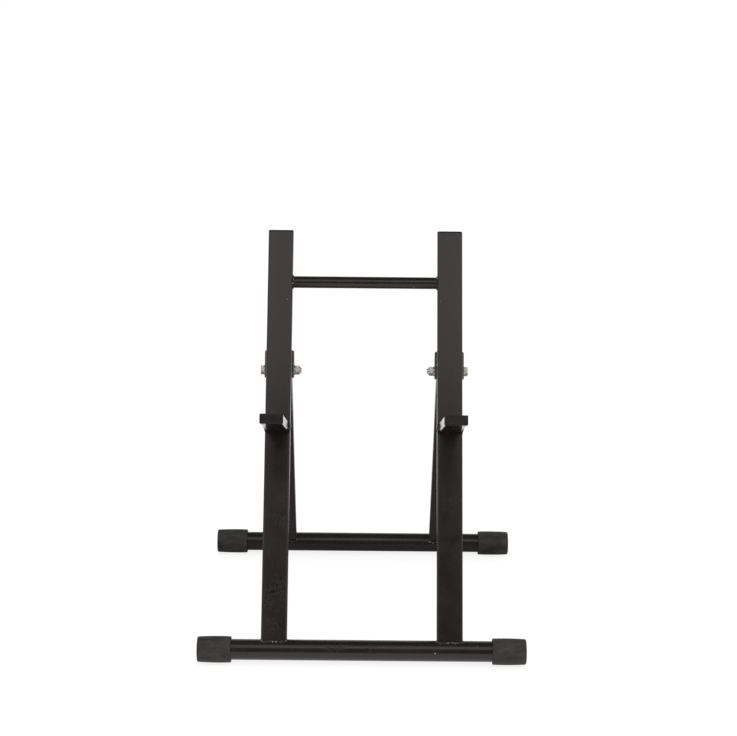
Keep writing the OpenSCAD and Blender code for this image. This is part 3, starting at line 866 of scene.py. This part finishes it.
def make_surroundings(scene, look):
    """The world: white to the camera, and plain light from all round."""
    world = bpy.data.worlds.new("white_studio")
    scene.world = world
    world.use_nodes = True
    tree = world.node_tree
    tree.nodes.clear()
    # What gloss shows: white paper behind, dark above and towards the camera, grey at the sides
    way = node(tree, "ShaderNodeSeparateXYZ",
               {"Vector": node(tree, "ShaderNodeTexCoord").outputs["Generated"]})
    aside = node(tree, "ShaderNodeMath", {0: way.outputs["X"]}, operation="ABSOLUTE")
    side = node(tree, "ShaderNodeMapRange", {"Value": aside.outputs["Value"], "From Min": 0.04,
                                             "From Max": 0.30, "To Max": 0.6},
                interpolation_type="SMOOTHSTEP")
    behind = node(tree, "ShaderNodeMapRange", {"Value": way.outputs["Y"], "From Min": -0.1,
                                               "From Max": 0.3},
                  interpolation_type="SMOOTHSTEP")
    low = node(tree, "ShaderNodeMapRange", {"Value": way.outputs["Z"], "From Min": 0.65,
                                            "From Max": 0.30}, interpolation_type="SMOOTHSTEP")
    paper = node(tree, "ShaderNodeMath", {0: behind.outputs["Result"], 1: low.outputs["Result"]},
                 operation="MULTIPLY")
    level = node(tree, "ShaderNodeMath", {0: side.outputs["Result"], 1: paper.outputs["Value"]},
                 operation="MAXIMUM")
    level = node(tree, "ShaderNodeMath", {0: level.outputs["Value"], 1: 0.04}, operation="MAXIMUM")
    path = node(tree, "ShaderNodeLightPath")
    shine = node(tree, "ShaderNodeMath", {0: path.outputs["Is Glossy Ray"],
                                          1: path.outputs["Is Transmission Ray"]},
                 operation="MAXIMUM")
    plain = node(tree, "ShaderNodeBackground", {"Color": linear("#ffffff"),
                                                "Strength": look.ambient})
    shown = node(tree, "ShaderNodeBackground", {"Color": linear("#ffffff"),
                                                "Strength": level.outputs["Value"]})
    white = node(tree, "ShaderNodeBackground", {"Color": linear("#ffffff"), "Strength": 1.0})
    mix = node(tree, "ShaderNodeMixShader", {0: shine.outputs["Value"],
                                             1: plain.outputs["Background"],
                                             2: shown.outputs["Background"]})
    mix = node(tree, "ShaderNodeMixShader", {0: path.outputs["Is Camera Ray"],
                                             1: mix.outputs["Shader"],
                                             2: white.outputs["Background"]})
    node(tree, "ShaderNodeOutputWorld", {"Surface": mix.outputs["Shader"]})


def make_softbox(look):
    """The soft light in front and above, aimed at the front bar."""
    away, rise = 2.4, math.radians(63.5)
    lamp = bpy.data.lights.new("softbox", "AREA")
    lamp.shape = "RECTANGLE"
    lamp.size, lamp.size_y = 2.6, 1.3
    lamp.energy = look.softbox
    softbox = add_object(lamp)
    target = Vector((0, FRONT_BAR.y, 0))
    softbox.location = target + away * Vector((0, -math.cos(rise), math.sin(rise)))
    softbox.rotation_euler = (target - softbox.location).to_track_quat("-Z", "Y").to_euler()


def make_camera(scene, look):
    """The camera, and the plain view transform."""
    lens = bpy.data.cameras.new("camera")
    lens.sensor_fit = "HORIZONTAL"
    lens.sensor_width = 36.0
    lens.lens = look.lens
    camera = add_object(lens)
    level = Matrix.Rotation(math.pi / 2 - look.pitch, 4, "X")
    turn = Matrix.Rotation(-look.yaw, 4, "Z") @ level @ Matrix.Rotation(look.roll, 4, "Z")
    camera.matrix_world = Matrix.Translation(look.place) @ turn
    scene.camera = camera
    scene.view_settings.view_transform = "Standard"


class STAND_OT_stage(Operator):
    """Makes the floor, the light and the camera"""
    bl_idname = "stand.stage"
    bl_label = "Stage"

    def execute(self, context):
        look = context.scene.stand_studio
        make_floor()
        make_surroundings(context.scene, look)
        make_softbox(look)
        make_camera(context.scene, look)
        return {"FINISHED"}


# ---- Add-on --------------------------------------------------------------------------------

class STAND_PT_panel(Panel):
    """Lists the stand's settings and steps"""
    bl_idname = "STAND_PT_panel"
    bl_label = "Folding stand"
    bl_space_type = "VIEW_3D"
    bl_region_type = "UI"
    bl_category = "Stand"

    def draw(self, context):
        for group in GROUPS:
            settings = getattr(context.scene, group)
            box = self.layout.box()
            for name in settings.__annotations__:
                box.prop(settings, name)
        for step in STEPS:
            self.layout.operator(step.bl_idname)


STEPS = (STAND_OT_powder_coat, STAND_OT_rubber_caps, STAND_OT_plastic_plugs,
         STAND_OT_plated_fasteners, STAND_OT_foot_welds, STAND_OT_bracket_welds,
         STAND_OT_stage)
GROUPS = {"stand_finish": StandFinish, "stand_caps": StandCaps, "stand_plugs": StandPlugs,
          "stand_welds": StandWelds, "stand_studio": StandStudio}


def register():
    for cls in (*GROUPS.values(), *STEPS, STAND_PT_panel):
        bpy.utils.register_class(cls)
    for name, cls in GROUPS.items():
        setattr(bpy.types.Scene, name, PointerProperty(type=cls))


def unregister():
    for name in GROUPS:
        delattr(bpy.types.Scene, name)
    for cls in (STAND_PT_panel, *reversed(STEPS), *GROUPS.values()):
        bpy.utils.unregister_class(cls)


def main():
    register()
    bpy.ops.stand.powder_coat()
    bpy.ops.stand.rubber_caps()
    bpy.ops.stand.plastic_plugs()
    bpy.ops.stand.plated_fasteners()
    bpy.ops.stand.foot_welds()
    bpy.ops.stand.bracket_welds()
    bpy.ops.stand.stage()


if __name__ == "__main__":
    main()
